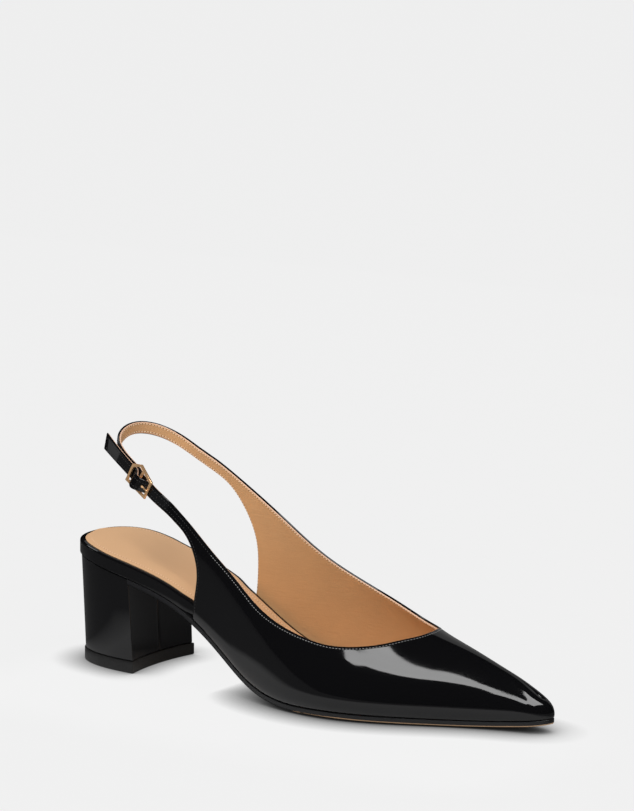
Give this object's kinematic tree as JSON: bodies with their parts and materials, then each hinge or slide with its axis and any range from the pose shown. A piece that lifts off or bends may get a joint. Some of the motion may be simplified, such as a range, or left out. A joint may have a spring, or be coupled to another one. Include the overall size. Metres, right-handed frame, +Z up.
{
  "type": "slingback pump",
  "caption": "Right slingback pump with a pointed toe and a low block heel, its sling closed by a small buckle at the outer ankle, for dress wear.",
  "frame": {"origin": "middle of the top piece's face, on the floor under the heel", "axes": "+X to the toe, +Y to the inner side of the foot, +Z up"},
  "size_m": [0.2448, 0.0778, 0.1097],
  "materials": {
    "patent_leather": "black patent leather, mirror gloss, tan lining inside",
    "sock_leather": "plain tan leather, satin",
    "sole_leather": "black dyed edge, tan underside, satin",
    "top_piece_rubber": "black, dull",
    "rose_metal": "rose-gold plated, polished"
  },
  "bodies": {
    "root": {"outsole": "sole_leather", "insole_board": "patent_leather", "sock": "sock_leather", "heel_block": "patent_leather", "top_piece": "top_piece_rubber", "upper": "patent_leather", "buckle_frame": "rose_metal", "buckle_prong": "rose_metal"}
  },
  "joints": []
}
